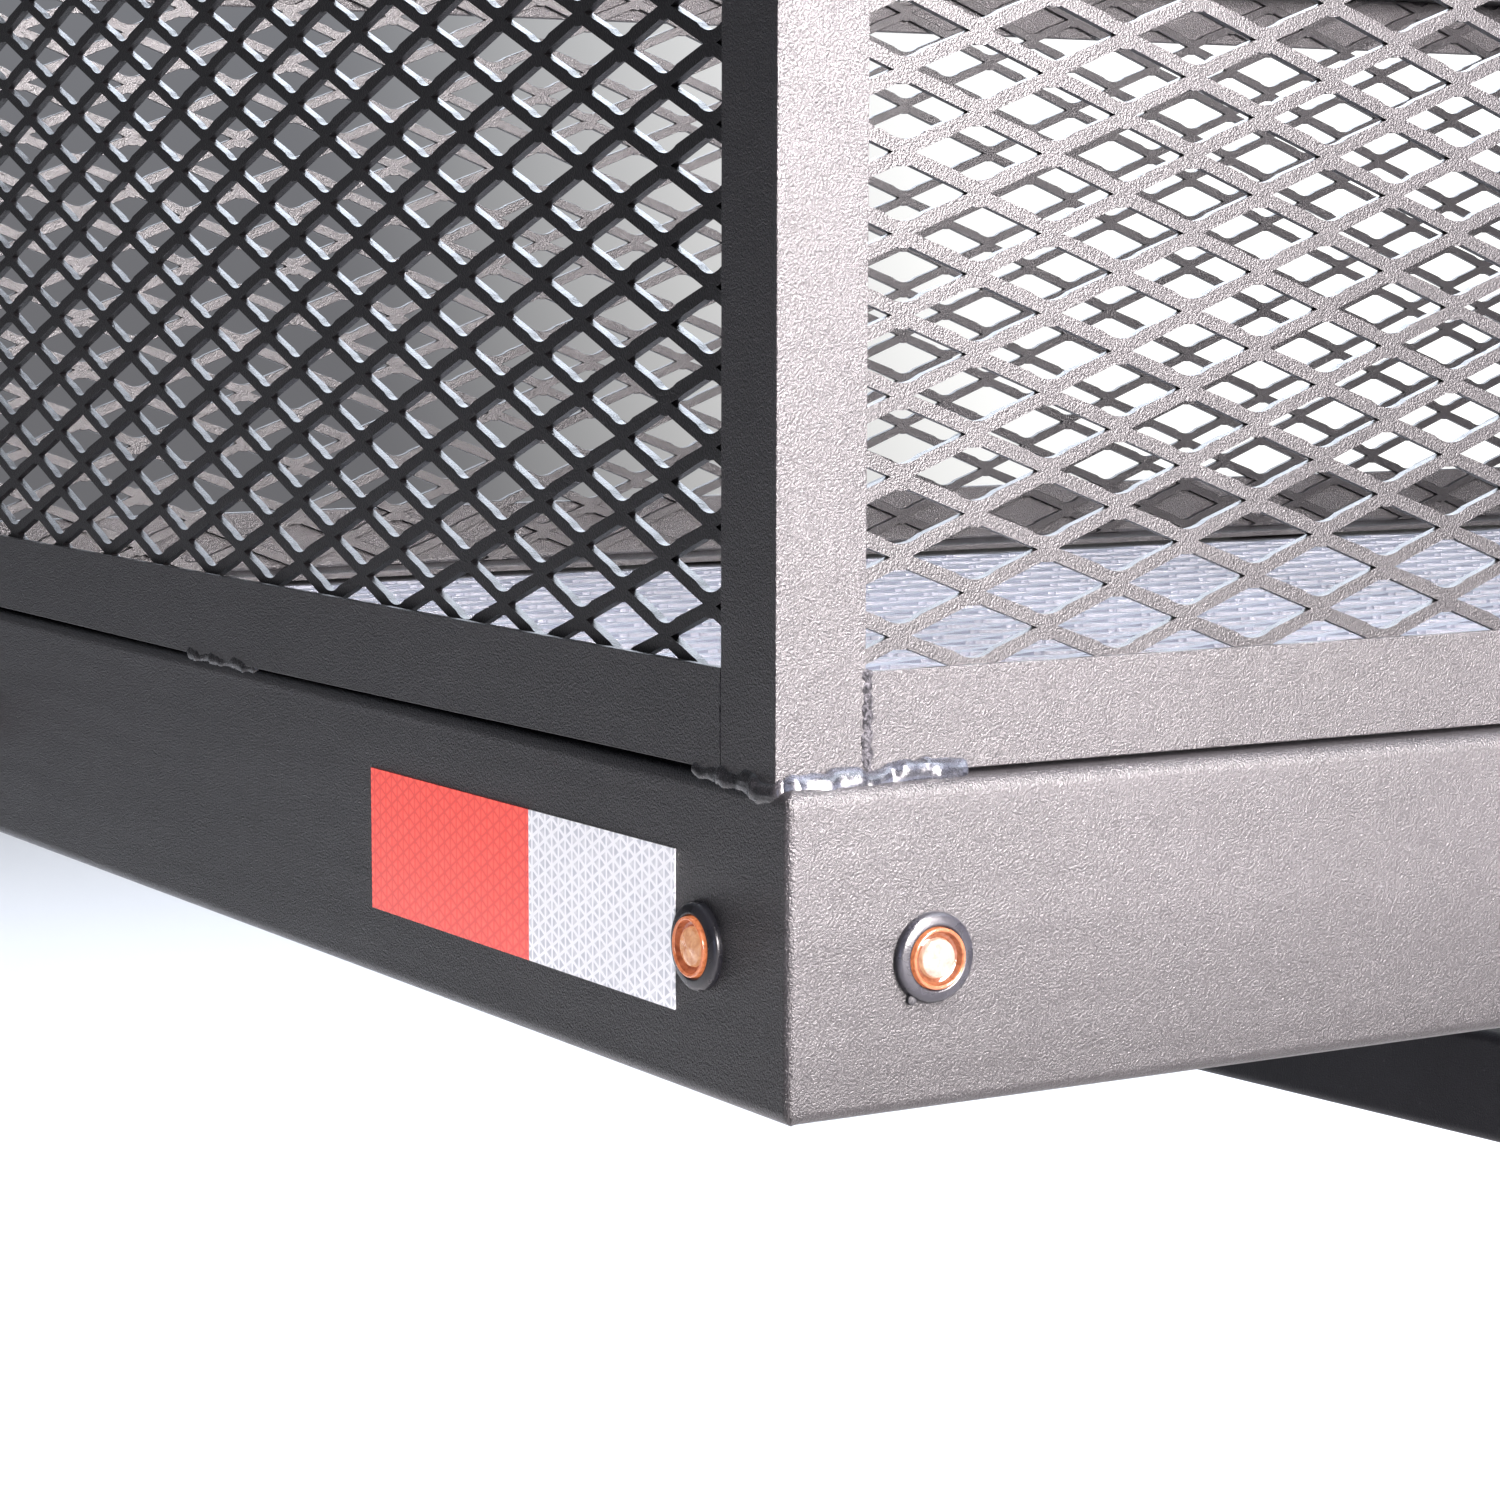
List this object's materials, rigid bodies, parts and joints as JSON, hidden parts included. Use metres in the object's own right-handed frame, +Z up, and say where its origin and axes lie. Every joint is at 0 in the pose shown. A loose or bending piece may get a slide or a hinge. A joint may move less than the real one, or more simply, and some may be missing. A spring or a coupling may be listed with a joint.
{
  "type": "hitch cargo carrier",
  "caption": "Welded steel cargo basket for a square receiver hitch, with rectangular-tube base, expanded-metal sides and floor, corner marker lamps and reflective tape.",
  "frame": {"origin": "middle of the hitch pin hole, on the shank's centre line", "axes": "+X across the vehicle along the hitch pin hole, -Y towards the vehicle, +Z up"},
  "size_m": [1.2284, 1.0914, 0.5751],
  "materials": {
    "powder_coat": "satin charcoal powder coat with a fine orange peel",
    "weld_bead": "painted weld bead, glossier than the tube",
    "zinc": "bright zinc plate",
    "rubber": "moulded black rubber, low sheen",
    "amber_lens": "clear amber plastic lens, glossy",
    "red_lens": "clear red plastic lens, glossy",
    "lamp_body": "black moulded plastic",
    "led_board": "white board with a pale yellow chip",
    "tape_white": "white prismatic reflective film",
    "tape_red": "red prismatic reflective film",
    "end_plug": "black moulded plastic"
  },
  "bodies": {
    "carrier": {"base_rail_front": "powder_coat", "base_rail_rear": "powder_coat", "base_rail_left": "powder_coat", "base_rail_right": "powder_coat", "floor_joist_left": "powder_coat", "floor_joist_center": "powder_coat", "floor_joist_right": "powder_coat", "floor_ledger_left": "powder_coat", "floor_ledger_right": "powder_coat", "floor_mesh_left": "powder_coat", "floor_mesh_right": "powder_coat", "post_front_left": "powder_coat", "post_front_right": "powder_coat", "post_rear_left": "powder_coat", "post_rear_right": "powder_coat", "lower_rail_front": "powder_coat", "lower_rail_rear": "powder_coat", "lower_rail_left": "powder_coat", "lower_rail_right": "powder_coat", "upper_rail_front": "powder_coat", "upper_rail_rear": "powder_coat", "upper_rail_left": "powder_coat", "upper_rail_right": "powder_coat", "mesh_front": "powder_coat", "mesh_rear": "powder_coat", "mesh_left": "powder_coat", "mesh_right": "powder_coat", "corner_welds": "weld_bead", "stitch_welds": "weld_bead", "shank_tube": "powder_coat", "shank_end_cap": "end_plug", "hanger_front_left": "powder_coat", "hanger_front_right": "powder_coat", "hanger_rear_left": "powder_coat", "hanger_rear_right": "powder_coat", "hanger_bolts": "zinc", "hanger_washers": "zinc", "hanger_nuts": "zinc", "grommet_front_left": "rubber", "grommet_front_right": "rubber", "grommet_rear_left": "rubber", "grommet_rear_right": "rubber", "lens_front_left": "amber_lens", "lens_front_right": "amber_lens", "lens_rear_left": "red_lens", "lens_rear_right": "red_lens", "lamp_body_front_left": "lamp_body", "lamp_body_front_right": "lamp_body", "lamp_body_rear_left": "lamp_body", "lamp_body_rear_right": "lamp_body", "lamp_led_boards": "led_board", "tape_left_white": "tape_white", "tape_left_red": "tape_red", "tape_right_white": "tape_white", "tape_right_red": "tape_red", "wire_grommet": "rubber"},
    "pin": {"hitch_pin": "zinc"},
    "clip": {"pin_clip": "zinc"}
  },
  "joints": [
    {"name": "pin_turn", "type": "hinge", "parent": "carrier", "child": "pin", "pos_m": [0, 0.15231, -0.00532], "axis": [1, 0, 0], "continuous": true},
    {"name": "clip_pull", "type": "slide", "parent": "pin", "child": "clip", "axis": [0, 0, 1], "range_m": [0, 0.03]}
  ]
}
